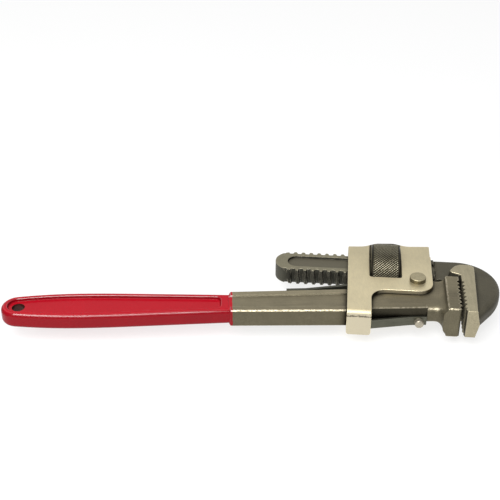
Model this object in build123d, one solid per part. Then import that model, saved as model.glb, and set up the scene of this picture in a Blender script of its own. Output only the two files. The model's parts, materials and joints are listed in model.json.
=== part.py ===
"""Stillson-pattern pipe wrench lying on its side, origin at the hang hole, X towards the jaws."""

import math
import os

from build123d import *

# Grip: lengths run from the hang hole's centre, widths are half widths
HOLE_RADIUS = 3.8
NOSE = 10.2
NOSE_RADIUS = 10.1
GRIP_WIDE_AT = 36.0
GRIP_WIDE = 12.7
GRIP_END_AT = 125.6
GRIP_END = 9.2
GRIP_TAPER = 1.17
GRIP_THICK = 10.2
GRIP_ROUND = 2.8
GRIP_RIM = 4.0
GRIP_WEB = 6.0
RECESS_END_GAP = 5.0
RECESS_CORNER = 3.0
RECESS_TOP_ROUND = 0.9
RECESS_FOOT_ROUND = 1.0

# Bar between the grip and the head
BAR_STEP = 1.0
BAR_FLARE = 0.0155
BAR_THICK = 11.5
EDGE_BREAK = 0.7
BAR_CHAMFER = 1.2
PANEL_RIM = 4.4
PANEL_DEPTH = 0.9
PANEL_SLOPE = 35.0
PANEL_CORNER = 3.0

# Head: the pivot, and the lean of everything square to the shank
PIVOT_X = 240.8
PIVOT_Y = 15.2
LEAN = 6.5

# Lug and heel jaw, measured from the pivot square to the shank
LUG_LEFT = 8.4
LUG_REAR = 7.6
LUG_RIGHT = 7.6
LUG_FOOT_ROUND = 4.0
LUG_CORNER = 3.0
HEEL_LEFT = 16.6
HEEL_WIDTH = 8.2
HEEL_DRAFT = 2.3
HEEL_REAR = 4.4
HEEL_FRONT = 31.0
HEEL_THICK = 20.4
HEEL_CORNER = 2.4
NECK_FRONT = 10.8
NECK_FILLET = 5.0
NECK_ROUND = 4.5

# Teeth of both jaws
TOOTH_PITCH = 3.9
TOOTH_DEPTH = 1.7
TOOTH_LAND = 0.6
TOOTH_RAKE = 0.7
TOOTH_COUNT = 8
TOOTH_START = 1.2
JAW_GAP = 1.7

# Threaded shank, axis parallel to the head's X
AXIS_Y = 20.5
THREAD_PITCH = 5.0
THREAD_PHASE = 2.4
ROOT_RADIUS = 10.0
THREAD_HEIGHT = 1.6
RIDGE_FOOT = 3.0
RIDGE_TIP = 1.4
SHANK_THICK = 10.5
SHANK_LEFT = 88.2
THREAD_END = -7.0
GROOVE_LEFT = 80.6
GROOVE_RIGHT = 12.2
GROOVE_WIDTH = 12.2
GROOVE_DEPTH = 1.3
GROOVE_SLOPE = 20.0

# Hook of the movable jaw
SHOULDER_X = 10.2
THROAT_Y = 7.4
CROWN_RADIUS = 26.0
FLANK_RADIUS = 40.0
FLANK_TURN = 35.0
HOOK_FRONT = 31.6
HOOK_DEPTH = 23.8
HOOK_ROUND = 4.0
HOOK_THICK = 18.8
PAD_WIDTH = 7.0
PAD_FLARE = 1.8
PAD_DRAFT = 12.0
PAD_TOP = 11.7
PAD_TAIL = 7.0
PAD_CORNER = 3.5
PAD_ROUND = 0.5
TIP_CHAMFER = 1.2
TIP_CHAMFER_RUN = 3.5

# Folded frame, measured from the pivot square to the shank
SHEET = 2.5
FRAME_LEFT = 42.5
FRAME_RIGHT = 9.2
FRAME_NOTCH = 0.4
FRAME_NOTCH_AT = 28.0
WALL_LEFT = 38.5
WALL_RISE = 4.0
BULGE = 3.6
BULGE_RUN = 8.0
BULGE_ROUND = 10.0
BEND_RADIUS = 3.8
STRAP_WIDTH = 14.4
STRAP_FRONT = 36.0
STRAP_BEND = 3.8
STRAP_CORNER = 1.6
EAR_FRONT = 11.6
EAR_CORNER = 9.0
EAR_FILLET = 9.0
WINDOW_FRONT = 1.9
WINDOW_CORNER = 1.6
WINDOW_RIGHT = 9.5
SHEET_ROUND = 0.4

# Adjusting nut
NUT_RADIUS = 17.5
NUT_LENGTH = 18.0
NUT_CHAMFER = 1.5

# Rivets
PIVOT_RADIUS = 3.9
PIVOT_HEAD_RADIUS = 4.9
PIVOT_HEAD = 3.0
PIVOT_HEAD_ROUND = 0.7
SPRING_RIVET_RADIUS = 1.5
SPRING_RIVET_DEPTH = 6.0
FRONT_HEAD_RADIUS = 2.65
FRONT_HEAD = 3.2
REAR_HEAD_RADIUS = 2.5
REAR_HEAD = 1.8
HEAD_ROUND = 0.9

# Leaf springs
FRONT_LEAF = 1.3
FRONT_LEAF_WIDTH = 5.8
FRONT_LEAF_Z = -2.8
FRONT_FOOT = 10.0
FRONT_RIVET_BACK = 4.9
FRONT_RIVET_DROP = 0.6
SEAT_DEPTH = 1.2
REAR_LEAF = 1.8
REAR_LEAF_WIDTH = 11.2
REAR_FOOT = 12.0
REAR_FOOT_AT = 160.6
LEAF_BEND = 8.0

# Fits
CHEEK_PLAY = 0.25
PIVOT_PLAY = 0.05
RIVET_PLAY = 0.02
THREAD_PLAY = 0.35
NUT_PLAY = 0.8
LEAF_GAP = 0.3
TOUCH = 0.05

FRAME_THICK = BAR_THICK + 2 * CHEEK_PLAY + 2 * SHEET
HEEL_FACE = HEEL_LEFT + HEEL_WIDTH
HOOK_FACE = HEEL_FACE + JAW_GAP
STRAP_RIGHT = FRAME_LEFT - STRAP_WIDTH
WINDOW_LEFT = WINDOW_RIGHT + NUT_LENGTH + 2 * NUT_PLAY
BAR_START = GRIP_END + BAR_STEP
REST = Pos(PIVOT_X, PIVOT_Y) * Rot(0, 0, -LEAN)


def at_rest(x, y):
    """Point of the leaning head, in the handle's own frame."""
    return (REST * Pos(x, y)).position


def bar_half(x):
    """Half width of the flared bar at a distance from the hang hole."""
    return BAR_START + (x - GRIP_END_AT) * BAR_FLARE


def both_faces(cut):
    """A cut in the upper face together with its mirror image in the lower one."""
    return cut + mirror(cut, Plane.XY)


def outline_face(points):
    """Face inside a closed path of (point, corner radius) pairs."""
    path = FilletPolyline([p for p, _ in points], radius=[r for _, r in points], close=True)
    return make_face(path.edges())


def rim_edges(body, z, left):
    """Edges round the upper and lower faces at height z, from a given X onwards."""
    flats = [f for f in body.faces().filter_by(Axis.Z) if abs(abs(f.center().Z) - z) < TOUCH]
    return [e for f in flats for e in f.edges() if e.center().X > left]


def in_head(edge):
    """Middle of an edge, measured from the pivot square to the shank."""
    return (REST.inverse() * Pos(*edge.center())).position


def teeth(face_x, side):
    """Grooves between the teeth of a jaw face; side is +1 when the metal lies towards +X."""
    half = (TOOTH_PITCH - TOOTH_LAND) / 2
    groove = Polygon(
        (face_x - side, half),
        (face_x, half),
        (face_x + side * TOOTH_DEPTH, side * TOOTH_RAKE),
        (face_x, -half),
        (face_x - side, -half),
        align=None,
    )
    cutter = extrude(groove, HEEL_THICK, both=True)
    return [Pos(0, -TOOTH_START - i * TOOTH_PITCH) * cutter for i in range(TOOTH_COUNT)]


def screw(radius, height, foot, tip, start, length):
    """Helical ridge on a core of the given radius, right-handed along the shank's axis."""
    path = Helix(pitch=THREAD_PITCH, height=length, radius=radius)
    sunk = height / 4
    ridge = Polygon(
        (-sunk, -foot / 2),
        (0, -foot / 2),
        (height, -tip / 2),
        (height, tip / 2),
        (0, foot / 2),
        (-sunk, foot / 2),
        align=None,
    )
    section = Plane(origin=path @ 0, x_dir=(1, 0, 0), z_dir=path % 0) * ridge
    place = Pos(start, AXIS_Y) * Rot(360 * start / THREAD_PITCH, 0, 0) * Rot(0, 90, 0)
    return place * sweep(section, path=path, is_frenet=True)


def in_phase(threaded):
    """Threaded piece turned about the shank's axis to the phase of the thread."""
    turn = -360 * THREAD_PHASE / THREAD_PITCH
    return Pos(0, AXIS_Y) * Rot(turn, 0, 0) * Pos(0, -AXIS_Y) * threaded


def along_shank(radius, left, right):
    """Round bar on the shank's axis."""
    return Pos((left + right) / 2, AXIS_Y) * Rot(0, 90, 0) * Cylinder(radius, right - left)


def grip():
    """I-section grip with a round end."""
    reach = GRIP_WIDE_AT + NOSE - NOSE_RADIUS
    bulge = (reach**2 + GRIP_WIDE**2 - NOSE_RADIUS**2) / (2 * (GRIP_WIDE - NOSE_RADIUS))
    swing = math.degrees(math.atan2(reach, bulge - GRIP_WIDE))
    nose = JernArc((-NOSE, 0), (0, 1), NOSE_RADIUS, swing - 90)
    shoulder = JernArc(nose @ 1, nose % 1, bulge, -swing)
    run = GRIP_END_AT - GRIP_WIDE_AT
    drop = GRIP_WIDE - GRIP_END
    slope = math.atan(GRIP_TAPER * drop / run)
    belly = (GRIP_TAPER - 1) * drop / (math.sin(slope) * math.tan(slope) - 1 + math.cos(slope))
    side = JernArc(shoulder @ 1, (1, 0), belly, -math.degrees(slope))
    lead = math.tan(slope) * BAR_STEP
    taper = Line(side @ 1, (GRIP_END_AT + BAR_STEP, GRIP_END - lead))
    half = [nose, shoulder, side, taper]
    close = Line(taper @ 1, mirror(taper, Plane.XZ) @ 1)
    face = make_face(half + [close] + [mirror(edge, Plane.XZ) for edge in half])
    body = extrude(face, GRIP_THICK / 2, both=True)
    top_and_bottom = body.faces().filter_by(Axis.Z).edges().filter_by(Axis.Y, reverse=True)
    body = fillet(top_and_bottom, GRIP_ROUND)

    depth = (GRIP_THICK - GRIP_WEB) / 2
    inset = offset(face, amount=-GRIP_RIM)
    limit = Rectangle(2 * PIVOT_X, 4 * GRIP_WIDE, align=(Align.MAX, Align.CENTER))
    inset &= Pos(GRIP_END_AT - RECESS_END_GAP) * limit
    inset = fillet(inset.vertices().group_by(Axis.X)[-1], RECESS_CORNER)
    recess = extrude(Pos(0, 0, GRIP_WEB / 2) * inset, depth)
    recess = fillet(recess.faces().sort_by(Axis.Z)[0].edges(), RECESS_FOOT_ROUND)
    body -= both_faces(recess)
    rims = [f for f in body.faces().filter_by(Axis.Z) if abs(f.center().Z) > GRIP_WEB / 2 + TOUCH]
    return fillet([e for f in rims for e in f.inner_wires().edges()], RECESS_TOP_ROUND)


def lug_foot():
    """Corner where the bar's rear edge meets the lug's left side."""
    lean = math.radians(LEAN)
    x = PIVOT_X - LUG_LEFT * math.cos(lean)
    y = PIVOT_Y + LUG_LEFT * math.sin(lean)
    drop = (y - bar_half(x)) / (math.cos(lean) - BAR_FLARE * math.sin(lean))
    return at_rest(-LUG_LEFT, -drop)


def neck_corner():
    """Corner where the neck's front edge meets the heel jaw's left side, and its radius."""
    lean = math.radians(LEAN)
    left = HEEL_LEFT - HEEL_DRAFT
    foot = PIVOT_Y - left * math.sin(lean)
    drop = (NECK_FRONT + foot) / math.cos(lean)
    return at_rest(left, -drop), min(NECK_FILLET, 0.75 * (HEEL_FRONT - drop))


def seat():
    """X of both ends of the front spring's seat, and its Y."""
    left = at_rest(-FRAME_LEFT, -STRAP_FRONT).X + FRONT_LEAF
    right = PIVOT_X + FRAME_RIGHT / 4
    return left, right, -bar_half(left) + SEAT_DEPTH


def beside_seat(edge):
    """Whether an edge of the bar borders the front spring's seat."""
    left, right, _ = seat()
    middle = edge.center()
    return middle.Y < 0 and left - SEAT_DEPTH < middle.X < right + TOUCH


def side_edges(head, foot):
    """Edges along the sides of the head, from the seat's end up the coves of the heel jaw."""
    _, right, _ = seat()
    flat = [e for e in rim_edges(head, BAR_THICK / 2, right + TOUCH) if in_head(e).X < foot - TOUCH]
    coves = [f for f in head.faces().filter_by(GeomType.CYLINDER) if abs(f.center().Z) > BAR_THICK / 2]
    slopes = [e for f in coves for e in f.edges() if foot + TOUCH < in_head(e).X < HEEL_LEFT - TOUCH]
    return flat + [e for e in slopes if in_head(e).Y > TOUCH - HEEL_FRONT]


def handle():
    """Forged handle: grip, bar, lug and heel jaw in one piece."""
    seat_left, seat_right, seat_y = seat()
    outline = outline_face(
        [
            ((GRIP_END_AT, BAR_START), 0),
            (lug_foot(), LUG_FOOT_ROUND),
            (at_rest(-LUG_LEFT, LUG_REAR), LUG_CORNER),
            (at_rest(LUG_RIGHT, LUG_REAR), LUG_CORNER),
            (at_rest(LUG_RIGHT + LUG_CORNER, HEEL_REAR), LUG_CORNER / 2),
            (at_rest(HEEL_FACE, HEEL_REAR), 0),
            (at_rest(HEEL_FACE, -HEEL_FRONT), HEEL_CORNER),
            (at_rest(HEEL_LEFT - HEEL_DRAFT, -HEEL_FRONT), 0),
            neck_corner(),
            ((seat_right, -NECK_FRONT), 0),
            ((seat_right, seat_y), 0),
            ((seat_left, seat_y), 0),
            ((seat_left - SEAT_DEPTH, -bar_half(seat_left - SEAT_DEPTH)), 0),
            ((GRIP_END_AT, -BAR_START), 0),
        ]
    )
    base = BAR_THICK / 2
    from_left = (Align.MIN, Align.CENTER, Align.CENTER)
    past_seat = Pos(seat_right) * Box(2 * HEEL_FRONT, 4 * HEEL_FRONT, HEEL_THICK, align=from_left)
    bar = extrude(outline, base, both=True) - past_seat
    bar = chamfer(bar.faces().sort_by(Axis.X)[0].edges(), BAR_CHAMFER)
    start = GRIP_END_AT + 2 * BAR_CHAMFER
    rims = [e for e in rim_edges(bar, base, start) if e.center().X < seat_right - TOUCH]
    bar = chamfer([e for e in rims if not beside_seat(e)], EDGE_BREAK)

    cove = (HEEL_THICK - BAR_THICK) / 2
    foot = HEEL_LEFT - cove
    rise = [
        Line((-HEEL_LEFT, 0), (-HEEL_LEFT, base)),
        Line((-HEEL_LEFT, base), (foot, base)),
        RadiusArc((foot, base), (HEEL_LEFT, base + cove), -cove),
        Line((HEEL_LEFT, base + cove), (HEEL_FACE + 1, base + cove)),
        Line((HEEL_FACE + 1, base + cove), (HEEL_FACE + 1, 0)),
        Line((HEEL_FACE + 1, 0), (-HEEL_LEFT, 0)),
    ]
    half = extrude(Plane.XZ * make_face(rise), 2 * HEEL_FRONT, both=True)
    head = extrude(outline, base + cove, both=True) & past_seat & (REST * both_faces(half))
    head = fillet([e for e in side_edges(head, foot) if e.center().Y < 0], NECK_ROUND)
    rear = [e for e in side_edges(head, foot) if e.center().Y > 0]
    head = chamfer(rear + rim_edges(head, base + cove, 0), EDGE_BREAK)
    body = grip() + bar + head
    body -= [REST * groove for groove in teeth(HEEL_FACE, -1)]

    panel_end = seat_left + STRAP_WIDTH / 2
    panel = outline_face(
        [
            ((GRIP_END_AT - BAR_STEP, BAR_START - PANEL_RIM), 0),
            ((panel_end, bar_half(panel_end) - PANEL_RIM), PANEL_CORNER),
            ((panel_end, PANEL_RIM - bar_half(panel_end)), PANEL_CORNER),
            ((GRIP_END_AT - BAR_STEP, PANEL_RIM - BAR_START), 0),
        ]
    )
    panel_cut = extrude(Pos(0, 0, BAR_THICK / 2) * panel, -PANEL_DEPTH, taper=PANEL_SLOPE)
    body -= both_faces(panel_cut)

    body -= Cylinder(HOLE_RADIUS, BAR_THICK)
    body -= REST * Cylinder(PIVOT_RADIUS + PIVOT_PLAY, BAR_THICK)
    body -= front_rivet_place() * rivet_hole()
    body -= rear_rivet_place() * rivet_hole()
    return body


def hook_jaw():
    """Movable jaw: hook, shoulder and flattened threaded shank."""
    major = ROOT_RADIUS + THREAD_HEIGHT
    start = -SHANK_LEFT - THREAD_PITCH
    shank = along_shank(ROOT_RADIUS, -SHANK_LEFT, SHOULDER_X + 1)
    shank += screw(ROOT_RADIUS, THREAD_HEIGHT, RIDGE_FOOT, RIDGE_TIP, start, THREAD_END - start)
    blank = Circle(ROOT_RADIUS) + Rectangle(2 * SHANK_LEFT, 2 * major + 1, align=(Align.MIN, Align.CENTER))
    blank = Pos(ROOT_RADIUS - SHANK_LEFT, AXIS_Y) * blank
    shank = in_phase(shank) & extrude(blank, SHANK_THICK / 2, both=True)

    crown_x = HOOK_FACE + HOOK_DEPTH - CROWN_RADIUS
    rear_y = AXIS_Y + ROOT_RADIUS
    rear = Line((SHOULDER_X, rear_y), (crown_x, rear_y))
    crown = JernArc(rear @ 1, (1, 0), CROWN_RADIUS, -90)
    flank = JernArc(crown @ 1, (0, -1), FLANK_RADIUS, -FLANK_TURN)
    slope = math.tan(math.radians(FLANK_TURN))
    tip_x = (flank @ 1).X - ((flank @ 1).Y + HOOK_FRONT) * slope
    back = [rear, crown, flank, Line(flank @ 1, (tip_x, -HOOK_FRONT))]
    inside = Polyline(
        (tip_x, -HOOK_FRONT),
        (HOOK_FACE, -HOOK_FRONT),
        (HOOK_FACE, THROAT_Y),
        (SHOULDER_X, THROAT_Y),
        (SHOULDER_X, rear_y),
    )
    web = extrude(make_face(back + inside.edges()), SHANK_THICK / 2, both=True)
    back_faces = [f for f in web.faces() if f.normal_at().Z == 0 and f.center().X + f.center().Y > HOOK_FACE]
    web = fillet([e for f in back_faces for e in f.edges().filter_by(Axis.Z, reverse=True)], HOOK_ROUND)

    pad_right = HOOK_FACE + PAD_WIDTH
    pad = outline_face(
        [
            ((HOOK_FACE - 1, -HOOK_FRONT - 1), 0),
            ((HOOK_FACE - 1, THROAT_Y + 1), 0),
            ((HOOK_FACE - PAD_TAIL, THROAT_Y + PAD_TAIL / 2), PAD_CORNER / 2),
            ((HOOK_FACE - PAD_TAIL / 4, THROAT_Y + PAD_TOP), 2 * PAD_CORNER),
            ((pad_right + PAD_FLARE, THROAT_Y + PAD_TOP), PAD_CORNER),
            ((pad_right, -HOOK_FRONT - 1), 0),
        ]
    )
    pads = both_faces(extrude(Pos(0, 0, HOOK_THICK / 2) * pad, -HOOK_THICK / 2, taper=-PAD_DRAFT))

    mouth = Polygon(
        (SHOULDER_X, -2 * HOOK_FRONT),
        (tip_x + CROWN_RADIUS, -2 * HOOK_FRONT),
        (tip_x + CROWN_RADIUS, -HOOK_FRONT),
        (HOOK_FACE + TIP_CHAMFER, -HOOK_FRONT),
        (HOOK_FACE, TIP_CHAMFER_RUN - HOOK_FRONT),
        (HOOK_FACE, THROAT_Y),
        (SHOULDER_X, THROAT_Y),
        align=None,
    )
    mouth_cut = extrude(mouth, HOOK_THICK, both=True)
    pads -= mouth_cut
    pads = fillet(rim_edges(pads, HOOK_THICK / 2, 0), PAD_ROUND)
    body = shank + (web - mouth_cut) + pads
    body -= teeth(HOOK_FACE, 1)

    length = GROOVE_LEFT + GROOVE_RIGHT
    slot = Pos((GROOVE_RIGHT - GROOVE_LEFT) / 2, AXIS_Y, SHANK_THICK / 2) * SlotOverall(length, GROOVE_WIDTH)
    return body - both_faces(extrude(slot, -GROOVE_DEPTH, taper=GROOVE_SLOPE))


def wall(x, inset, bulge=0.0, corner=0.0):
    """Point of the frame's folded wall and its corner radius."""
    slope = WALL_RISE / (FRAME_LEFT + FRAME_RIGHT - FRAME_NOTCH)
    return (x, WALL_LEFT + (x + FRAME_LEFT) * slope + bulge - inset), corner


def bulged_wall(left, right, inset):
    """Wall from left to right, standing out on both sides of the nut."""
    return [
        wall(left, inset),
        wall(-WINDOW_LEFT - BULGE_RUN / 2, inset, 0, BULGE_ROUND),
        wall(-WINDOW_LEFT + BULGE_RUN / 2, inset, BULGE, BULGE_ROUND),
        wall(-WINDOW_RIGHT - BULGE_RUN / 2, inset, BULGE, BULGE_ROUND),
        wall(-WINDOW_RIGHT + BULGE_RUN / 2, inset, 0, BULGE_ROUND),
        wall(right, inset),
    ]


def bend_edges(body):
    """Long edges of the wall, where the sheet is folded."""
    walls = [f for f in body.faces() if f.normal_at().Y > math.cos(math.pi / 8)]
    return [e for f in walls for e in f.edges().filter_by(Axis.Z, reverse=True)]


def frame():
    """Sheet folded round the back, with a front strap and a window for the nut."""
    half = FRAME_THICK / 2
    outline = outline_face(
        bulged_wall(-FRAME_LEFT, FRAME_RIGHT - FRAME_NOTCH, 0)
        + [
            ((FRAME_RIGHT - FRAME_NOTCH, FRAME_NOTCH_AT), 0),
            ((FRAME_RIGHT, FRAME_NOTCH_AT - FRAME_NOTCH), 0),
            ((FRAME_RIGHT, -EAR_FRONT), EAR_CORNER),
            ((-STRAP_RIGHT, -EAR_FRONT), EAR_FILLET),
            ((-STRAP_RIGHT, -STRAP_FRONT), 0),
            ((-FRAME_LEFT, -STRAP_FRONT), 0),
        ]
    )
    body = extrude(outline, half, both=True)
    body = fillet(bend_edges(body), BEND_RADIUS)
    strap = body.faces().sort_by(Axis.Y)[0]
    body = fillet(strap.edges().filter_by(Axis.Z, reverse=True).sort_by(Axis.Z)[-1], STRAP_BEND)
    reach = 2 * FRAME_LEFT
    front = SHEET - STRAP_FRONT
    cavity = outline_face(bulged_wall(-reach, reach, SHEET) + [((reach, front), 0), ((-reach, front), 0)])
    hollow = extrude(cavity, half - SHEET, both=True)
    body -= fillet(bend_edges(hollow), BEND_RADIUS - SHEET)

    tab = Rectangle(STRAP_WIDTH, FRAME_THICK)
    rounded = fillet(tab.vertices().group_by(Axis.Y)[0], STRAP_CORNER)
    spare = extrude(Plane.XZ * (tab - rounded), -SHEET)
    body -= Pos(STRAP_WIDTH / 2 - FRAME_LEFT, -STRAP_FRONT) * spare

    window = outline_face(
        [
            ((-WINDOW_LEFT, WINDOW_FRONT), WINDOW_CORNER),
            ((-WINDOW_RIGHT, WINDOW_FRONT), WINDOW_CORNER),
            wall(-WINDOW_RIGHT, SHEET, BULGE / 2, WINDOW_CORNER),
            wall(-WINDOW_LEFT, SHEET, BULGE / 2, WINDOW_CORNER),
        ]
    )
    body -= extrude(window, half + 1, both=True)
    low = STRAP_BEND - STRAP_FRONT
    high = WALL_LEFT - BEND_RADIUS
    body = fillet([e for e in rim_edges(body, half, -reach) if low < e.center().Y < high], SHEET_ROUND)
    return body - Cylinder(PIVOT_RADIUS + RIVET_PLAY, 2 * FRAME_THICK)


def adjusting_nut():
    """Ring nut with the shank's thread cut inside."""
    right = -WINDOW_RIGHT - NUT_PLAY
    left = right - NUT_LENGTH
    ring = along_shank(NUT_RADIUS, left, right)
    ring = chamfer(ring.edges().filter_by(GeomType.CIRCLE), NUT_CHAMFER)
    bore = ROOT_RADIUS + THREAD_PLAY
    first = (math.floor(left / THREAD_PITCH) - 0.7) * THREAD_PITCH
    width = 2 * THREAD_PLAY
    length = right - first + THREAD_PITCH
    groove = screw(bore, THREAD_HEIGHT, RIDGE_FOOT + width, RIDGE_TIP + width, first, length)
    return in_phase(ring - (along_shank(bore, left - 1, right + 1) + groove))


def button(radius, height, rounding):
    """Rivet head standing on the XY plane, its top edge rounded."""
    head = Cylinder(radius, height, align=(Align.CENTER, Align.CENTER, Align.MIN))
    return fillet(head.edges().sort_by(Axis.Z)[-1], rounding)


def pivot_rivet():
    """Rivet through both cheeks and the lug, headed at each end."""
    head = Pos(0, 0, FRAME_THICK / 2) * button(PIVOT_HEAD_RADIUS, PIVOT_HEAD, PIVOT_HEAD_ROUND)
    return Cylinder(PIVOT_RADIUS, FRAME_THICK) + both_faces(head)


def spring_rivet(radius, height, leaf):
    """Blind rivet with its head on a leaf, shank down -Z."""
    length = leaf + SPRING_RIVET_DEPTH
    shank = Pos(0, 0, -length / 2) * Cylinder(SPRING_RIVET_RADIUS, length)
    return Pos(0, 0, leaf) * (button(radius, height, HEAD_ROUND) + shank)


def rivet_hole():
    """Hole for a spring rivet, reaching past the leaf and into the handle."""
    bottom = SPRING_RIVET_DEPTH + RIVET_PLAY
    top = REAR_LEAF + FRONT_LEAF
    return Pos(0, 0, (top - bottom) / 2) * Cylinder(SPRING_RIVET_RADIUS + RIVET_PLAY, top + bottom)


def front_rivet_place():
    """On the front spring's seat, facing forward."""
    _, right, y = seat()
    return Pos(right - FRONT_RIVET_BACK, y, FRONT_LEAF_Z - FRONT_RIVET_DROP) * Rot(90, 0, 0)


def rear_rivet_place():
    """On the bar's rear edge, facing backward and square to it."""
    x = REAR_FOOT_AT + REAR_FOOT / 2
    return Pos(x, bar_half(x)) * Rot(0, 0, math.degrees(math.atan(BAR_FLARE))) * Rot(-90, 0, 0)


def leaf(points, bends, thick, width, z):
    """Strip of spring steel bent along a path in the XY plane."""
    path = FilletPolyline(points, radius=bends)
    return Pos(0, 0, z) * extrude(trace(path, thick), width / 2, both=True)


def front_spring():
    """Leaf from the seat to the inside of the strap."""
    _, right, y = seat()
    mid = y - FRONT_LEAF / 2
    strap = SHEET - STRAP_FRONT + LEAF_GAP + FRONT_LEAF / 2
    points = [
        (right - LEAF_GAP, mid),
        (right - FRONT_FOOT, mid),
        at_rest(-STRAP_RIGHT - FRONT_LEAF, strap),
        at_rest(FRONT_LEAF - FRAME_LEFT, strap),
    ]
    strip = leaf(points, [LEAF_BEND, LEAF_BEND], FRONT_LEAF, FRONT_LEAF_WIDTH, FRONT_LEAF_Z)
    return strip - front_rivet_place() * rivet_hole()


def rear_spring():
    """Leaf from the bar's rear edge up to the nut."""
    nut_side = AXIS_Y - NUT_RADIUS - LEAF_GAP - REAR_LEAF / 2
    mid = REAR_LEAF / 2 * math.sqrt(1 + BAR_FLARE**2)
    heel = REAR_FOOT_AT + REAR_FOOT
    crown = -(WINDOW_LEFT + WINDOW_RIGHT) / 2
    points = [
        (REAR_FOOT_AT, bar_half(REAR_FOOT_AT) + mid),
        (heel, bar_half(heel) + mid),
        at_rest(crown, nut_side),
        at_rest(-WINDOW_RIGHT - 2 * REAR_LEAF, nut_side - 2 * REAR_LEAF),
    ]
    strip = leaf(points, [LEAF_BEND, LEAF_BEND], REAR_LEAF, REAR_LEAF_WIDTH, 0)
    return strip - rear_rivet_place() * rivet_hole()


def build():
    """Every piece by its name, in the shared frame."""
    front_rivet = spring_rivet(FRONT_HEAD_RADIUS, FRONT_HEAD, FRONT_LEAF)
    rear_rivet = spring_rivet(REAR_HEAD_RADIUS, REAR_HEAD, REAR_LEAF)
    return {
        "handle": handle(),
        "hook_jaw": REST * hook_jaw(),
        "frame": REST * frame(),
        "adjusting_nut": REST * adjusting_nut(),
        "pivot_rivet": REST * pivot_rivet(),
        "front_spring": front_spring(),
        "front_spring_rivet": front_rivet_place() * front_rivet,
        "rear_spring": rear_spring(),
        "rear_spring_rivet": rear_rivet_place() * rear_rivet,
    }


if __name__ == "__main__":
    os.makedirs("parts", exist_ok=True)
    for name, piece in build().items():
        export_step(piece, f"parts/{name}.step")
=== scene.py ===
"""Looks of the pipe wrench: materials, knurled nut, sliced springs, floor, light and camera."""

import json
import math

import bmesh
import bpy
from mathutils import Matrix, Vector


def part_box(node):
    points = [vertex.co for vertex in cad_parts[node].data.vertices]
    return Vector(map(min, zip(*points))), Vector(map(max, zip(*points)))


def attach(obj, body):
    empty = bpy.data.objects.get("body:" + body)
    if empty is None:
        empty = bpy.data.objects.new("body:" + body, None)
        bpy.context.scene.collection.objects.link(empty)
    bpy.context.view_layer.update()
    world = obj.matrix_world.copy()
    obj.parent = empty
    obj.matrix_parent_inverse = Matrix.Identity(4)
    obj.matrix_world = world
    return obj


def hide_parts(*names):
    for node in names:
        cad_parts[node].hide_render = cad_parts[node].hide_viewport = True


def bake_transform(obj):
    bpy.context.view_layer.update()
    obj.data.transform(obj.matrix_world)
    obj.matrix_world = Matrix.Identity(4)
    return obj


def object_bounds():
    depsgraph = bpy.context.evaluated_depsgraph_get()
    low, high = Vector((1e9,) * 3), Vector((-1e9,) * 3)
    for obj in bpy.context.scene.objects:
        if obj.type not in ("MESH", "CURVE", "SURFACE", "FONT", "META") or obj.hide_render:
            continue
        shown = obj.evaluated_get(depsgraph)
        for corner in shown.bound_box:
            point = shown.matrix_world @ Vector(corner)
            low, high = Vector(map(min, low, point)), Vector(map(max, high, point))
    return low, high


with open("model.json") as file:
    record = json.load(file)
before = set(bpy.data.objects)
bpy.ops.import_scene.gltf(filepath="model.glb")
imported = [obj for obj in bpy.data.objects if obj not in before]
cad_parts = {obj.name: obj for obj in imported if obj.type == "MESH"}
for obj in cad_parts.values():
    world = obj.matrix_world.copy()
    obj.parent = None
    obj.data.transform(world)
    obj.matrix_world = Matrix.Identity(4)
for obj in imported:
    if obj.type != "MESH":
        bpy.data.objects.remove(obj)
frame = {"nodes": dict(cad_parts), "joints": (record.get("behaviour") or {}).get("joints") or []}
CAD_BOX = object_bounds()
NODES = frame["nodes"]
JOINTS = {j["name"]: j for j in frame["joints"]}

# Axes of the handle, then those of the head, which leans with the shank
ORIGIN = Vector((0, 0, 0))
X = Vector((1, 0, 0))
Y = Vector((0, 1, 0))
Z = Vector((0, 0, 1))
PIVOT = Vector(JOINTS["frame_rock"]["pos_m"])
ALONG = Vector(JOINTS["jaw_slide"]["axis"]).normalized()
ACROSS = Z.cross(ALONG)
NUT_AXIS = Vector(JOINTS["nut_spin"]["pos_m"])

# Places on the handle, in metres from the hang hole's centre, heights from the mid-plane
HOLE_RADIUS = 0.0038
PAINT_END = 0.1276
PAINT_WANDER = 0.0008
RECESS_SIDE = 0.0087
RECESS_FLOOR = 0.00295
RECESS_MATT_TOP = 0.00475
RIM_GLOSS_FOOT = 0.0044
RIM_MIDDLE = 0.001
PANEL_STEP = 0.0053
BAR_BEVEL = 0.00585
HEEL_STEP = 0.0093
HEEL_BEVEL = 0.00935
NECK_LEFT = 0.219
HEEL_LEFT = 0.251
SEAT_LEFT = 0.1958
SEAT_RIGHT = 0.2431
SEAT_FLOOR = -0.00995
SEAT_LIP = -0.0089
SEAT_TOP = 0.00555

# Places on the hook jaw, in metres from the pivot, heights from the mid-plane
SHANK_END = 0.0099
SHANK_RIM = 0.00505
GROOVE_END = 0.0122
GROOVE_FLOOR = 0.0035
GROOVE_TOP = 0.00495
PAD_FOOT = 0.0089
TIP_FRONT = -0.0312
JAW_FACE = 0.021
TEETH_LEFT = 0.02575
TEETH_RIGHT = 0.02805
TEETH_REAR = 0.00725

# Places on the frame, in metres from the pivot, heights from the mid-plane
PLATE_MIDDLE = 0.012
CUT_EDGE_SHADE_MIDDLE = -0.014
WALL_FRONT = 0.0369
WINDOW_LEFT = -0.0290
WINDOW_RIGHT = -0.0096
WINDOW_BACK = 0.0384
STRAP_BEND = -0.0310
STRAP_SHEET = -0.0344
STRAP_FACE = -0.0345
CREASE_FOOT = 0.0043
CREASE_TOP = 0.00525
CREASE_WANDER = 0.0022

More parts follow.
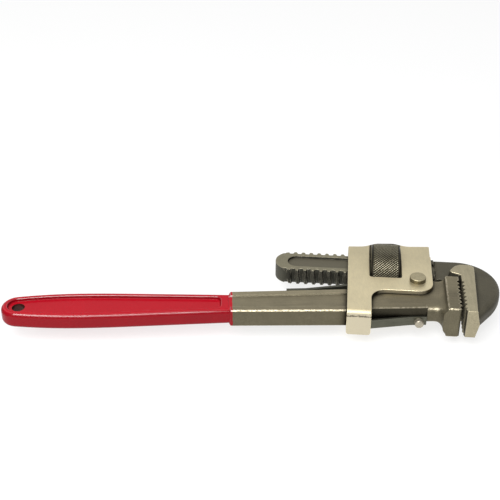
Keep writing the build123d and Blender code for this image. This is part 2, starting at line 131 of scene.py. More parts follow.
# Knurl of the nut: counts, sizes in metres, tip as a share of a diamond, crease in degrees
KNURL_COUNT = 72
KNURL_ROWS = 18
KNURL_DEPTH = 0.00055
KNURL_SADDLE = 0.00010
KNURL_TIP = 0.22
KNURL_CREASE = 20
KNURL_SHADE = 0.00014
KNURL_SHADE_SOFT = 0.00008
KNURL_FOOT = 0.00105
NUT_CHAMFER = 0.0015
NUT_MARGIN = 1e-5
NUT_END_TURN = 0.99

# Leaf springs: slices along their length, an angle in degrees for smooth shading, a snapping distance in
# metres
LEAF_LENGTHS = 40
LEAF_CREASE = 35
LEAF_SNAP = 1e-7

# Colours of the handle, bare and painted
FORGED_BAR = (0.150, 0.133, 0.089)
GROUND_BAR = (0.300, 0.262, 0.175)
# Worn edges, with painted highlights on the bevels and the seat's lip
WORN_AND_HIGHLIT_BAR_SIDE = (0.46, 0.41, 0.30)
WORN_AND_HIGHLIT_BAR_FACE = (0.64, 0.57, 0.42)
# Painted shade on the seat behind the front spring
SEAT_SHADE = (0.022, 0.020, 0.015)
ENAMEL = (0.405, 0.003, 0.012)
ENAMEL_CHIP = (0.30, 0.035, 0.035)
# Painted shade inside the hang hole
BORE_SHADE = (0.030, 0.012, 0.008)

# Colours of the hook jaw
FORGED_HOOK = (0.118, 0.106, 0.074)
GROUND_HOOK = (0.500, 0.443, 0.300)
WORN_HOOK = (0.50, 0.46, 0.36)
SHANK_FACE = (0.330, 0.300, 0.205)
GROOVE_FACE = (0.190, 0.172, 0.122)
THREAD = (0.046, 0.047, 0.036)
# Painted shade on the thread's flanks facing along the shank
THREAD_FLANK_SHADE = (0.018, 0.018, 0.013)

# Colours of the frame
PLATE = (0.735, 0.640, 0.418)
WORN_PLATE = (0.90, 0.86, 0.74)
# Painted shade: the plate made darker for the strap's front
SHADED_STRAP_PLATE = (0.545, 0.500, 0.390)
# Painted shade on the sheet's cut edges, darkest near the fillet
CUT_EDGE_SHADE = (0.020, 0.018, 0.012)
CUT_EDGE_SHADE_PALE = (0.10, 0.085, 0.055)
# Painted shade on the inside of the back wall behind the nut
WINDOW_SHADE = (0.030, 0.028, 0.020)
CREASE_SHADE = (0.10, 0.085, 0.058)

# Colours of the nut, springs and rivets
KNURL_STEEL = (0.138, 0.126, 0.086)
# Painted shade in the knurl's valleys
KNURL_VALLEY_SHADE = (0.022, 0.020, 0.014)
KNURL_BRIGHT = (0.36, 0.33, 0.24)
SPRING_BLUE = (0.105, 0.104, 0.078)
SPRING_EDGE = (0.26, 0.25, 0.22)
PIVOT_PLATE = (0.480, 0.420, 0.270)
SPRING_RIVET_ZINC = (0.430, 0.390, 0.310)
# Painted highlight on the rivets' edges
RIVET_EDGE_HIGHLIGHT = (0.72, 0.68, 0.56)

# Floor, in metres, and the room's strength of light
FLOOR_HALF = 4.0
FLOOR_GAP = 0.0001
FLOOR_GREY = (0.28, 0.28, 0.278)
ROOM_FRONT = 0.12
ROOM_BACK = 0.72
ROOM_TINT = (0.98, 0.99, 1.0, 1.0)

# Lamps and the places they are turned to, in metres
SOFT_BOX = (0.14, -0.10, 0.9)
SOFT_TARGET = (0.14, -0.10, 0.0)
FRONT_BOX = (-0.30, -1.00, 0.40)
FRONT_TARGET = (0.14, 0.0, 0.0)
KEY_BOX = (-0.16, -0.72, 0.98)
KEY_TARGET = (0.12, 0.0, 0.0)

# Camera: place in metres, directions of the picture's right and top, lens in millimetres
CAMERA_PLACE = (0.1258, -0.5242, 0.3690)
CAMERA_RIGHT = Vector((0.99972, -0.02356, 0.0))
CAMERA_TOP = Vector((0.01248, 0.52977, 0.84804))
CAMERA_LENS = 76.82
CAMERA_SENSOR = 36.0
CAMERA_NEAR = 0.01
CAMERA_FAR = 50


class Look:
    """Node material with short calls for the nodes it is made of."""

    def __init__(self, name):
        self.material = bpy.data.materials.new(name)
        self.material.use_nodes = True
        self.tree = self.material.node_tree
        self.shader = self.tree.nodes["Principled BSDF"]
        own = self.node("ShaderNodeTexCoord")
        self.place = own.outputs["Object"]
        self.normal = own.outputs["Normal"]

    def node(self, kind, **settings):
        """New node with its settings."""
        made = self.tree.nodes.new(kind)
        for key, value in settings.items():
            setattr(made, key, value)
        return made

    def put(self, socket, value):
        """Link a socket to another one, or set its value."""
        if isinstance(value, bpy.types.NodeSocket):
            self.tree.links.new(value, socket)
        else:
            socket.default_value = value

    def feed(self, made, *values, **named):
        """Put a node's inputs, in their order or by name, with underscores for spaces."""
        for socket, value in zip(made.inputs, values):
            self.put(socket, value)
        for key, value in named.items():
            self.put(made.inputs[key.replace("_", " ")], value)
        return made

    def set(self, **values):
        """Put the shader's own inputs."""
        self.feed(self.shader, **values)

    def wear(self, *pieces):
        """Put the material on pieces, given as objects or by their nodes' names."""
        for piece in pieces:
            target = NODES[piece] if isinstance(piece, str) else piece
            target.data.materials.clear()
            target.data.materials.append(self.material)

    def math(self, operation, a, b=0.0, clamp=False):
        made = self.node("ShaderNodeMath", operation=operation, use_clamp=clamp)
        return self.feed(made, a, b).outputs[0]

    def scaled(self, value, factor):
        return self.math("MULTIPLY", value, factor)

    def distance(self, a, b):
        """Length across two square directions."""
        square = self.math("ADD", self.scaled(a, a), self.scaled(b, b))
        return self.math("SQRT", square)

    def dot(self, a, b):
        made = self.node("ShaderNodeVectorMath", operation="DOT_PRODUCT")
        return self.feed(made, a, b).outputs["Value"]

    def lerp(self, share, a, b):
        """Number between two others."""
        made = self.node("ShaderNodeMix", data_type="FLOAT")
        return self.feed(made, Factor=share, A=a, B=b).outputs["Result"]

    def mix(self, share, a, b):
        """Colour between two others."""
        made = self.node("ShaderNodeMix", data_type="RGBA")
        a, b = ((*colour, 1.0) if isinstance(colour, tuple) else colour for colour in (a, b))
        return self.feed(made, Factor=share, A=a, B=b).outputs["Result"]

    def cover(self, colour, mask, top, share):
        """Colour with a share of another one laid over it where a mask is 1."""
        return self.mix(self.scaled(mask, share), colour, top)

    def tint(self, colour, factor):
        """Colour made brighter or darker."""
        made = self.node("ShaderNodeVectorMath", operation="SCALE")
        return self.feed(made, colour, Scale=factor).outputs[0]

    def shade(self, colour, mask, factor):
        """Colour made brighter or darker where a mask is 1."""
        return self.tint(colour, self.lerp(mask, 1.0, factor))

    def step(self, value, low, high):
        """0 below low and 1 above high, smooth between; falling where low is above high."""
        made = self.node("ShaderNodeMapRange", interpolation_type="SMOOTHSTEP")
        rising = low < high
        self.feed(made, Value=value, From_Min=min(low, high), From_Max=max(low, high))
        self.feed(made, To_Min=0.0 if rising else 1.0, To_Max=1.0 if rising else 0.0)
        return made.outputs["Result"]

    def above(self, value, place, soft):
        """1 above a place and 0 below it, with a soft stretch on either side."""
        return self.step(value, place - soft, place + soft)

    def below(self, value, place, soft):
        """1 below a place and 0 above it, with a soft stretch on either side."""
        return self.step(value, place + soft, place - soft)

    def both(self, *masks):
        """1 where all masks are 1."""
        result = masks[0]
        for mask in masks[1:]:
            result = self.scaled(result, mask)
        return result

    def either(self, a, b):
        """1 where one of two masks is 1."""
        return self.math("MAXIMUM", a, b)

    def without(self, mask):
        """1 where a mask is 0."""
        return self.math("SUBTRACT", 1.0, mask)

    def noise(self, scale, detail=3.0, rough=0.5, stretch=None):
        """Noise around a half, its grain drawn out along the axes with a low stretch."""
        where = self.place
        if stretch:
            mapping = self.node("ShaderNodeMapping")
            where = self.feed(mapping, Vector=self.place, Scale=stretch).outputs["Vector"]
        made = self.node("ShaderNodeTexNoise")
        return self.feed(made, Vector=where, Scale=scale, Detail=detail, Roughness=rough).outputs["Fac"]

    def sway(self, value, noise, amount):
        """Value moved to either side by a noise around a half."""
        return self.math("ADD", value, self.scaled(self.math("SUBTRACT", noise, 0.5), amount))

    def grain(self, amount, *noises):
        """Brightness around 1 from noises around a half."""
        total = 1.0
        for noise in noises:
            total = self.sway(total, noise, amount)
        return total

    def along(self, origin, direction):
        """Distance from a point along a direction."""
        shift = self.node("ShaderNodeVectorMath", operation="SUBTRACT")
        self.feed(shift, self.place, tuple(origin))
        return self.dot(shift.outputs[0], tuple(direction))

    def height(self):
        """Distance from the mid-plane, on either side."""
        return self.math("ABSOLUTE", self.along(ORIGIN, Z))

    def towards(self, direction):
        """Share of a face's normal that points along a direction."""
        return self.dot(self.normal, tuple(direction))

    def turned(self):
        """Share of a face's normal that points up or down."""
        return self.math("ABSOLUTE", self.towards(Z))

    def facing(self):
        """1 on faces turned up or down and 0 on the sides."""
        return self.step(self.turned(), 0.45, 0.80)

    def bevels(self, low, high):
        """1 on faces halfway between flat and upright, outside a band of heights."""
        slant = self.both(self.step(self.turned(), 0.57, 0.66), self.step(self.turned(), 0.86, 0.78))
        under = self.below(self.height(), low, soft=0.00005)
        over = self.above(self.height(), high, soft=0.00005)
        return self.both(slant, self.either(under, over))

    def edges(self, radius, gain):
        """1 along the sharp edges and 0 on flat faces."""
        soft = self.feed(self.node("ShaderNodeBevel", samples=6), Radius=radius)
        true = self.node("ShaderNodeNewGeometry")
        turn = self.without(self.dot(soft.outputs["Normal"], true.outputs["Normal"]))
        return self.math("MULTIPLY", turn, gain, clamp=True)

    def gap_shade(self, colour, reach, darkest):
        """Colour darkened with painted shade in gaps and corners narrower than a given reach."""
        made = self.feed(self.node("ShaderNodeAmbientOcclusion", samples=8), Distance=reach)
        clear = self.step(made.outputs["AO"], 0.48, 0.96)
        return self.tint(colour, self.lerp(clear, darkest, 1.0))

    def bump(self, relief, depth):
        """Fine relief, as deep as given where it goes from 0 to 1."""
        made = self.feed(self.node("ShaderNodeBump"), Height=relief, Distance=depth)
        self.set(Normal=made.outputs["Normal"])


def bare_steel(look, x, y, edge):
    """Colour, roughness and relief of the bare handle: forged sides, ground faces, worn edges, painted
    highlights and shade.
    """
    z = look.height()
    facing = look.facing()
    streak = look.noise(1.0, 3, 0.6, stretch=(60, 1500, 1500))
    mottle = look.noise(90, 4, 0.6)
    speck = look.noise(1600, 2)

    forged = look.tint(FORGED_BAR, look.grain(0.60, mottle, speck))
    forged = look.shade(forged, look.above(x, HEEL_LEFT, soft=0.005), 1.10)
    ground = look.tint(GROUND_BAR, look.grain(0.45, streak, mottle, speck))
    rim = look.lerp(look.above(y, RIM_MIDDLE, soft=0.003), 0.98, 1.20)
    ground = look.tint(ground, look.lerp(look.above(z, PANEL_STEP, soft=0.0003), 0.95, rim))
    ground = look.shade(ground, look.above(z, HEEL_STEP, soft=0.0005), 0.74)
    neck = look.both(look.above(x, NECK_LEFT, soft=0.007), look.below(z, HEEL_STEP, soft=0.0005))
    ground = look.shade(ground, neck, 0.80)
    steel = look.mix(facing, forged, ground)

    beside_spring = look.both(
        look.above(x, SEAT_LEFT, soft=0.0006),
        look.below(x, SEAT_RIGHT, soft=0.0001),
    )
    # Painted shade on the seat's face behind the front spring
    seat_shade = look.both(
        beside_spring,
        look.below(y, SEAT_FLOOR, soft=0.00005),
        look.below(z, SEAT_TOP, soft=0.0001),
    )
    steel = look.cover(steel, seat_shade, SEAT_SHADE, share=0.75)
    lip = look.both(
        beside_spring,
        look.below(y, SEAT_LIP, soft=0.0003),
        look.step(look.turned(), 0.85, 0.95),
    )
    # Worn edges, plus painted highlights on bevels and the seat's lip, picked by their slant
    worn_or_highlit = look.either(look.both(edge, facing), look.bevels(BAR_BEVEL, HEEL_BEVEL))
    worn_or_highlit = look.either(worn_or_highlit, lip)
    worn = look.both(worn_or_highlit, look.step(look.noise(750, 3), 0.30, 0.62))
    wear_and_highlight = look.mix(facing, WORN_AND_HIGHLIT_BAR_SIDE, WORN_AND_HIGHLIT_BAR_FACE)
    steel = look.cover(steel, worn, wear_and_highlight, share=0.80)

    satin = look.lerp(worn, look.lerp(mottle, 0.42, 0.62), 0.42)
    relief = look.math("ADD", look.scaled(streak, 0.25), look.scaled(speck, 0.35))
    # Painted shade in the gaps and corners of the bare steel
    return look.gap_shade(steel, reach=0.006, darkest=0.12), satin, relief


def enamel_gloss(look, y):
    """Weight of the clear coat: full on the rolled rims, nearly none on the recess walls."""
    z = look.height()
    turned = look.turned()
    rolled = look.both(
        look.step(turned, 0.985, 0.92),
        look.step(turned, 0.10, 0.35),
        look.above(z, RIM_GLOSS_FOOT, soft=0.0002),
    )
    gloss = look.lerp(rolled, look.lerp(look.facing(), 0.16, 0.20), 1.0)
    recess_wall = look.both(
        look.step(turned, 0.985, 0.90),
        look.above(z, RECESS_FLOOR, soft=0.00005),
        look.below(z, RECESS_MATT_TOP, soft=0.00015),
        look.below(look.math("ABSOLUTE", y), RECESS_SIDE, soft=0.0005),
    )
    return look.scaled(gloss, look.without(look.scaled(recess_wall, 0.9)))


def red_enamel(look, x, y, edge):
    """Colour, roughness and relief of the enamel: painted shade on its sides and where it rolls over,
    chipped at edges.
    """
    cloud = look.noise(45, 3)
    clouds = look.grain(0.18, cloud, look.noise(900, 2))
    # Painted shade: sides and rolled rims of the enamel darker than its flat faces
    shaded_sides = look.lerp(look.facing(), 0.90, 1.0)
    rolled = look.lerp(look.step(look.turned(), 0.70, 0.97), 0.66, 1.0)
    paint = look.tint(ENAMEL, look.both(clouds, shaded_sides, rolled))
    # Painted shade on the wall of the hang hole
    bore_shade = look.below(look.distance(x, y), HOLE_RADIUS + 0.0001, soft=0.0001)
    paint = look.cover(paint, bore_shade, BORE_SHADE, share=0.9)
    chip = look.both(edge, look.step(look.noise(520, 3), 0.66, 0.72))
    paint = look.cover(paint, chip, ENAMEL_CHIP, share=0.5)
    return paint, look.lerp(cloud, 0.20, 0.32), look.scaled(look.noise(620, 2), 0.5)


def handle_look():
    """Red enamel on the grip, bare forged steel on the bar, lug and heel jaw."""
    look = Look("handle_paint_and_steel")
    x = look.along(ORIGIN, X)
    y = look.along(ORIGIN, Y)
    edge = look.edges(radius=0.0012, gain=7.0)
    bare = look.above(look.sway(x, look.noise(420, 2), PAINT_WANDER), PAINT_END, soft=0.0001)
    steel, satin, cast = bare_steel(look, x, y, edge)
    paint, smooth, peel = red_enamel(look, x, y, edge)
    look.set(
        Base_Color=look.mix(bare, paint, steel),
        Metallic=look.scaled(bare, 0.85),
        Roughness=look.lerp(bare, smooth, satin),
        Coat_Weight=look.both(look.without(bare), enamel_gloss(look, y)),
    )
    look.set(Coat_Roughness=0.11, Coat_IOR=1.75, Specular_IOR_Level=0.06)
    look.bump(look.lerp(bare, peel, cast), depth=0.00016)
    look.wear("handle")


def threaded_shank(look, x, z, forged, side, rim, face):
    """Colour of the shank: dark thread, painted shade on flanks facing along it, painted light on faces
    turned back, pale rim round the groove.
    """
    thread = look.both(look.below(x, SHANK_END, soft=0.0003), side)
    lean = look.towards(ALONG)
    # Painted shade on flanks facing along the shank, painted light on faces turned back
    shaded_flank = look.both(thread, look.step(lean, 0.15, 0.45))
    lit_left_faces = look.both(thread, look.step(lean, -0.10, -0.40))
    colour = look.cover(forged, thread, THREAD, share=0.70)
    colour = look.cover(colour, shaded_flank, THREAD_FLANK_SHADE, share=0.85)
    colour = look.shade(colour, lit_left_faces, 1.45)
    groove = look.both(look.above(z, GROOVE_FLOOR, soft=0.0001), look.below(z, GROOVE_TOP, soft=0.0001))
    groove = look.both(groove, look.below(x, GROOVE_END, soft=0.002), look.facing())
    colour = look.cover(colour, groove, GROOVE_FACE, share=0.8)
    return look.mix(rim, colour, face)


def hook_look():
    """Dark forged hook and thread, with ground pads, teeth and shank rim."""
    look = Look("hook_forged_and_ground")
    x = look.along(PIVOT, ALONG)
    y = look.along(PIVOT, ACROSS)
    z = look.height()
    mottle = look.noise(110, 4, 0.6)
    speck = look.noise(1500, 2)
    streak = look.noise(1.0, 3, 0.6, stretch=(900, 70, 900))

    side = look.without(look.facing())
    rim = look.both(look.above(z, SHANK_RIM, soft=0.0001), look.below(x, SHANK_END, soft=0.0003))
    pad = look.either(look.above(z, PAD_FOOT, soft=0.0003), look.below(y, TIP_FRONT, soft=0.0002))
    teeth = look.both(
        look.below(x, TEETH_RIGHT, soft=0.00025),
        look.below(y, TEETH_REAR, soft=0.00025),
        look.above(x, TEETH_LEFT, soft=0.00025),
    )
    jaw_face_shade = look.both(look.step(look.towards(-ALONG), 0.55, 0.85), look.above(x, JAW_FACE, soft=0.001))
    front = look.step(look.towards(-ACROSS), 0.80, 0.95)
    worn = look.both(look.edges(radius=0.0008, gain=5.0), look.step(look.noise(280, 3), 0.35, 0.62))

    forged = look.tint(FORGED_HOOK, look.grain(0.6, mottle, speck))
    # Painted shade on the forged sides of the hook
    forged = look.shade(forged, side, 0.62)
    ground = look.tint(GROUND_HOOK, look.grain(0.45, streak, mottle, speck))
    face = look.tint(SHANK_FACE, look.grain(0.5, mottle, speck))
    colour = threaded_shank(look, x, z, forged, side, rim, face)
    colour = look.mix(pad, colour, ground)
    colour = look.cover(colour, teeth, ground, share=0.6)
    # Painted shade on the jaw's face turned back towards the heel
    colour = look.shade(colour, jaw_face_shade, 0.22)
    # Painted shade on the faces turned to the front
    colour = look.shade(colour, front, 0.75)
    colour = look.cover(colour, worn, WORN_HOOK, share=0.75)

    smooth = look.either(pad, rim)
    look.set(
        # Painted shade in the gaps and corners of the hook
        Base_Color=look.gap_shade(colour, reach=0.003, darkest=0.45),
        Metallic=look.lerp(smooth, 0.75, 0.9),
        Roughness=look.lerp(smooth, look.lerp(mottle, 0.45, 0.65), look.lerp(mottle, 0.36, 0.52)),
    )
    scale = look.math("ADD", look.scaled(mottle, 1.2), look.scaled(speck, 0.4))
    look.bump(look.lerp(smooth, scale, look.scaled(streak, 0.5)), depth=0.00020)
    look.wear("hook_jaw")


def shade_plate_cuts(look, plate, x, y):
    """Plate with painted shade on its cut edges and on the inside of the back wall behind the window."""
    cut = look.both(
        look.above(y, STRAP_SHEET, soft=0.0002),
        look.below(y, WALL_FRONT, soft=0.0003),
        look.step(look.turned(), 0.30, 0.12),
    )
    # Painted shade on the cut edges, darkest towards the fillet
    cut_shade = look.mix(look.above(x, CUT_EDGE_SHADE_MIDDLE, soft=0.008), CUT_EDGE_SHADE, CUT_EDGE_SHADE_PALE)
    plate = look.cover(plate, cut, cut_shade, share=0.98)
    # Painted shade on the inside of the back wall behind the nut
    shade_behind_nut = look.both(
        look.above(y, WINDOW_BACK, soft=0.0002),
        look.above(x, WINDOW_LEFT, soft=0.0003),
        look.below(x, WINDOW_RIGHT, soft=0.0003),
        look.step(look.towards(ACROSS), 0.80, 0.58),
    )
    return look.cover(plate, shade_behind_nut, WINDOW_SHADE, share=0.9)


def strap_crease(look, y):
    """Mask of the small creases in the strap's front, just under its bend, for their relief and painted
    shade.
    """
    level = look.sway(look.along(ORIGIN, Z), look.noise(900, 3, 0.6), CREASE_WANDER)
    band = look.both(
        look.above(level, CREASE_FOOT, soft=0.0003),
        look.below(level, CREASE_TOP, soft=0.00025),
        look.below(y, STRAP_FACE, soft=0.0005),
    )
    return look.both(band, look.step(look.noise(600, 3), 0.28, 0.46))


def frame_look():
    """Satin plated sheet with brighter edges and a creased strap, painted shade on the cuts, behind the
    window, on the strap, its creases and bend.
    """
    look = Look("frame_satin_plate")
    x = look.along(PIVOT, ALONG)
    y = look.along(PIVOT, ACROSS)
    cloud = look.noise(55, 3)
    brushed = look.noise(1.0, 3, 0.6, stretch=(700, 180, 700))
    speck = look.noise(2200, 2)
    worn = look.both(look.edges(radius=0.0008, gain=5.0), look.step(look.noise(350, 3), 0.30, 0.60))
    strap = look.step(look.towards(-ACROSS), 0.75, 0.95)
    bend = look.both(look.step(look.towards(-ACROSS), 0.08, 0.30), look.below(y, STRAP_BEND, soft=0.001))
    bend_top_shade = look.both(bend, look.step(look.turned(), 0.20, 0.45))
    crease = strap_crease(look, y)

    plate = look.tint(PLATE, look.grain(0.22, cloud, brushed, speck))
    plate = look.cover(plate, worn, WORN_PLATE, share=0.6)
    plate = look.tint(plate, look.lerp(look.below(y, PLATE_MIDDLE, soft=0.024), 0.97, 1.16))
    plate = shade_plate_cuts(look, plate, x, y)
    # Painted shade: darker plate on the strap's front face
    plate = look.cover(plate, strap, SHADED_STRAP_PLATE, share=0.75)
    # Painted shade in the strap's creases
    plate = look.cover(plate, crease, CREASE_SHADE, share=0.85)
    # Painted shade on the top of the strap's bend, dimming its highlight
    plate = look.shade(plate, bend_top_shade, 0.84)

    satin = look.lerp(bend, look.lerp(cloud, 0.34, 0.46), look.lerp(speck, 0.42, 0.66))
    look.set(
        Base_Color=plate,
        Roughness=look.lerp(worn, satin, 0.26),
    )
    look.set(Metallic=0.85)
    fine = look.math("ADD", look.scaled(brushed, 0.3), look.scaled(speck, 0.3))
    look.bump(look.math("SUBTRACT", fine, look.scaled(crease, 1.5)), depth=0.00010)
    look.wear("frame")


def nut_look(piece):
    """Dark knurled steel with painted shade in the valleys, bright where hands have polished the tips."""
    look = Look("nut_knurled_steel")
    radius = look.distance(look.along(NUT_AXIS, ACROSS), look.along(NUT_AXIS, Z))
    mottle = look.noise(160, 3, 0.6)
    speck = look.noise(1800, 2)
    tip_radius = nut_radius()
    valley_radius = tip_radius - KNURL_DEPTH
    # Painted shade in the valleys between the diamonds
    valley_shade = look.both(
        look.below(radius, valley_radius + KNURL_SHADE, KNURL_SHADE_SOFT),
        look.above(radius, valley_radius - KNURL_FOOT, soft=0.00015),
    )
    tip = look.above(radius, tip_radius - KNURL_SHADE, KNURL_SHADE_SOFT)
    polished = look.both(tip, look.step(mottle, 0.20, 0.50))
    dark = look.tint(KNURL_STEEL, look.grain(0.5, mottle, speck))
    dark = look.cover(dark, valley_shade, KNURL_VALLEY_SHADE, share=0.9)
    look.set(
        Base_Color=look.mix(polished, dark, KNURL_BRIGHT),
        Roughness=look.lerp(polished, look.lerp(mottle, 0.40, 0.55), 0.30),
    )
    look.set(Metallic=0.9)
    look.bump(speck, depth=0.00006)
    look.wear(piece)


def spring_look(*pieces):
    """Blued spring steel with a trace of rolling lines."""
    look = Look("spring_blued_steel")
    lines = look.noise(1.0, 3, 0.6, stretch=(60, 60, 1800))
    mottle = look.noise(140, 3)
    blue = look.tint(SPRING_BLUE, look.grain(0.6, lines, mottle))
    look.set(
        Base_Color=look.cover(blue, look.edges(radius=0.0005, gain=4.0), SPRING_EDGE, share=0.5),
        Roughness=look.lerp(mottle, 0.34, 0.50),
    )
    look.set(Metallic=0.85)
    look.bump(lines, depth=0.00004)
    look.wear(*pieces)


def rivet_look(name, nodes, colour, side):
    """Plated rivets, heads lightly marked by the punch, painted shade on their sides as deep as a factor
    says, painted highlight on their edges.
    """
    look = Look(name)
    dent = look.noise(420, 3, 0.6)
    speck = look.noise(1700, 2)
    metal = look.tint(colour, look.grain(0.60, dent, speck))
    # Painted shade on the rivet's sides, as deep as the factor says
    metal = look.tint(metal, look.lerp(look.step(look.turned(), 0.10, 0.45), side, 1.0))
    look.set(
        # Painted highlight along the heads' edges
        Base_Color=look.cover(metal, look.edges(radius=0.0006, gain=4.0), RIVET_EDGE_HIGHLIGHT, share=0.5),
        Roughness=look.lerp(dent, 0.42, 0.58),
    )
    look.set(Metallic=0.85)
    look.bump(look.math("ADD", dent, look.scaled(speck, 0.2)), depth=0.00018)
    look.wear(*nodes)


def link(name, data):
    """New object in the scene."""
    piece = bpy.data.objects.new(name, data)
    bpy.context.scene.collection.objects.link(piece)
    return piece


def smooth_piece(name, bm, crease):
    """Object of a finished mesh, smooth up to an angle in degrees between its faces."""
    mesh = bpy.data.meshes.new(name)
    bm.to_mesh(mesh)
    bm.free()
    mesh.shade_smooth()
    piece = link(name, mesh)
    piece.modifiers.new("edges", "EDGE_SPLIT").split_angle = math.radians(crease)
    return piece


def off_axis(point):
    """Offset of a point from the nut's axis, square to it."""
    offset = point - NUT_AXIS
    return offset - offset.dot(ALONG) * ALONG


def nut_radius():
    """Outer radius of the nut."""
    return max(off_axis(v.co).length for v in NODES["adjusting_nut"].data.vertices)


class Knurl:
    """Rows of diamonds round the nut, each rising from four corners to a blunt tip."""

    # Rows and columns from a diamond's middle to its corners
    AROUND = ((0, 1), (1, 0), (0, -1), (-1, 0))

    def __init__(self, bm, radius, left, right):
        self.bm = bm
        self.radius = radius
        self.columns = 2 * KNURL_COUNT
        margin = NUT_CHAMFER - KNURL_DEPTH
        self.start = left + margin
        self.row_step = (right - left - 2 * margin) / KNURL_ROWS
        self.saddles = {}
        self.corners = {}
        for row in range(KNURL_ROWS + 1):
            for column in range(row % 2, self.columns, 2):
                self.corners[row, column] = self.spot(radius - KNURL_DEPTH, column, self.reach(row))

    def reach(self, row):
        """Distance of a row along the axis."""
        return self.start + row * self.row_step

    def spot(self, radius, column, reach):
        """New point at a distance from the axis, in a column, at a distance along the axis."""
        angle = math.pi * column / KNURL_COUNT
        spoke = math.cos(angle) * ACROSS + math.sin(angle) * Z
        return self.bm.verts.new(NUT_AXIS + reach * ALONG + radius * spoke)

    def corner(self, row, column):
        return self.corners[row, column % self.columns]

    def saddle(self, row, column):
        """Low point of the ridge between two tips, halfway along a shallow cut."""
        key = row, round(2 * column) % (2 * self.columns)
        if key not in self.saddles:
            self.saddles[key] = self.spot(self.radius - KNURL_SADDLE, column, self.reach(row))
        return self.saddles[key]

    def diamond(self, row, column):
        """Blunt tip and four slopes, two of them bent down to the saddles of the shallow cuts."""
        base = [self.corner(row + rows, column + columns) for rows, columns in self.AROUND]
        top = [
            self.spot(self.radius, column + KNURL_TIP * columns, self.reach(row + KNURL_TIP * rows))
            for rows, columns in self.AROUND
        ]
        self.bm.faces.new(top)
        for i in range(4):
            here, there = base[i], base[(i + 1) % 4]
            near, far = top[i], top[(i + 1) % 4]
            if i == 1 and row < KNURL_ROWS - 1:
                middle = self.saddle(row + 0.5, column - 0.5)
            elif i == 3 and row > 1:
                middle = self.saddle(row - 0.5, column + 0.5)
            else:
                self.bm.faces.new([here, there, far, near])
                continue
            self.bm.faces.new([here, middle, near])
            self.bm.faces.new([middle, there, far])
            self.bm.faces.new([middle, far, near])

    def end(self, row, inner, reach):
        """Chamfer from the last row of corners to the nut's end face."""
        columns = range(row % 2, self.columns, 2)
        ring = {column: self.spot(self.radius - NUT_CHAMFER, column, reach) for column in columns}
        for column in range((row + 1) % 2, self.columns, 2):
            left, right = column - 1, column + 1
            a, b = self.corner(row, left), self.corner(row, right)
            self.bm.faces.new([a, b, self.corner(inner, column)])
            self.bm.faces.new([b, a, ring[left % self.columns], ring[right % self.columns]])


def knurled_nut():
    """The nut with a knurl on its outer face, cut deeper along one slant than along the other."""
    source = NODES["adjusting_nut"].data
    reaches = [(v.co - NUT_AXIS).dot(ALONG) for v in source.vertices]
    left, right = min(reaches), max(reaches)
    radius = nut_radius()
    inside = radius - NUT_CHAMFER - NUT_MARGIN
    bm = bmesh.new()
    bm.from_mesh(source)

    def outer(face):
        nearest = min(off_axis(v.co).length for v in face.verts)
        return nearest > inside and abs(face.normal.dot(ALONG)) < NUT_END_TURN

    bmesh.ops.delete(bm, geom=[f for f in bm.faces if outer(f)], context="FACES")
    knurl = Knurl(bm, radius, left, right)
    for row in range(1, KNURL_ROWS):
        for column in range((row + 1) % 2, knurl.columns, 2):
            knurl.diamond(row, column)
    knurl.end(0, 1, left)
    knurl.end(KNURL_ROWS, KNURL_ROWS - 1, right)
    bmesh.ops.recalc_face_normals(bm, faces=bm.faces)
    piece = smooth_piece("knurled_nut", bm, KNURL_CREASE)
    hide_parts("adjusting_nut")
    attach(piece, "adjusting_nut")
    return piece


def bending_leaf(node):
    """A leaf spring, fixed to the handle at one end, its mesh cut into slices across its length in place
    of its part.
    """
    bm = bmesh.new()
    bm.from_mesh(NODES[node].data)
    lowest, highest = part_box(node)
    for i in range(1, LEAF_LENGTHS):
        x = lowest.x + (highest.x - lowest.x) * i / LEAF_LENGTHS
        geom = bm.verts[:] + bm.edges[:] + bm.faces[:]
        bmesh.ops.bisect_plane(bm, geom=geom, dist=LEAF_SNAP, plane_co=(x, 0, 0), plane_no=X)
    piece = smooth_piece(node + "_leaf", bm, LEAF_CREASE)
    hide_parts(node)
    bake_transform(piece)
    return piece


def floor():
    """Plain pale light table under the lowest point of the wrench."""
    look = Look("floor_matt_white")
    look.set(Base_Color=look.tint(FLOOR_GREY, look.grain(0.02, look.noise(6, 2))))
    look.set(Roughness=0.9, Emission_Color=(1.0, 1.0, 1.0, 1.0), Emission_Strength=0.73)
    level = CAD_BOX[0].z - FLOOR_GAP
    sides = ((-1, -1), (1, -1), (1, 1), (-1, 1))
    corners = [(x * FLOOR_HALF, y * FLOOR_HALF, level) for x, y in sides]
    mesh = bpy.data.meshes.new("floor")
    mesh.from_pydata(corners, [], [(0, 1, 2, 3)])
    piece = link("floor", mesh)
    look.wear(piece)


def lamp(name, place, target, width, depth, power):
    """Rectangular lamp turned to a target, sizes in metres and power in watts."""
    data = bpy.data.lights.new(name, "AREA")
    data.shape = "RECTANGLE"
    data.size = width
    data.size_y = depth
    data.energy = power
    piece = link(name, data)
    piece.location = place
    piece.rotation_euler = (Vector(target) - Vector(place)).to_track_quat("-Z", "Y").to_euler()


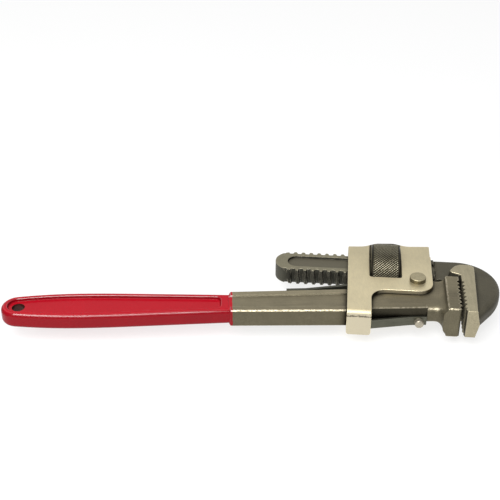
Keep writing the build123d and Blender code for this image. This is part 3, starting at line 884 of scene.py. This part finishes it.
def room():
    """Pale room all round, brighter at the back."""
    world = bpy.data.worlds.new("pale_room")
    bpy.context.scene.world = world
    world.use_nodes = True
    nodes = world.node_tree.nodes
    links = world.node_tree.links
    aim = nodes.new("ShaderNodeTexCoord").outputs["Generated"]
    split = nodes.new("ShaderNodeSeparateXYZ")
    links.new(aim, split.inputs[0])
    depth = nodes.new("ShaderNodeMapRange")
    links.new(split.outputs["Y"], depth.inputs["Value"])
    limits = {"From Min": -1.0, "From Max": 1.0, "To Min": ROOM_FRONT, "To Max": ROOM_BACK}
    for key, value in limits.items():
        depth.inputs[key].default_value = value
    links.new(depth.outputs["Result"], nodes["Background"].inputs["Strength"])
    nodes["Background"].inputs["Color"].default_value = ROOM_TINT


def light():
    """Key light in front, from the left, with two weak fills in a pale room."""
    lamp("soft_box", SOFT_BOX, SOFT_TARGET, width=1.2, depth=0.8, power=0.4)
    lamp("front_box", FRONT_BOX, FRONT_TARGET, width=1.2, depth=0.6, power=0.5)
    lamp("key_box", KEY_BOX, KEY_TARGET, width=0.9, depth=0.70, power=19.0)
    room()
    bpy.context.scene.view_settings.view_transform = "Standard"


def camera():
    """Camera at the photograph's viewing angle."""
    data = bpy.data.cameras.new("camera")
    data.sensor_width = CAMERA_SENSOR
    data.lens = CAMERA_LENS
    data.clip_start = CAMERA_NEAR
    data.clip_end = CAMERA_FAR
    piece = link("camera", data)
    turn = Matrix((CAMERA_RIGHT, CAMERA_TOP, CAMERA_RIGHT.cross(CAMERA_TOP))).transposed()
    piece.matrix_world = Matrix.Translation(CAMERA_PLACE) @ turn.to_4x4()
    bpy.context.scene.camera = piece


camera()
light()
floor()
handle_look()
hook_look()
frame_look()
nut_look(knurled_nut())
front_leaf = bending_leaf("front_spring")
rear_leaf = bending_leaf("rear_spring")
spring_look(front_leaf, rear_leaf)
# The pivot rivet's sides get a deep painted shade
rivet_look("pivot_rivet_plate", ["pivot_rivet"], PIVOT_PLATE, side=0.22)
rivet_look("spring_rivet_zinc", ["front_spring_rivet", "rear_spring_rivet"], SPRING_RIVET_ZINC, side=1.0)
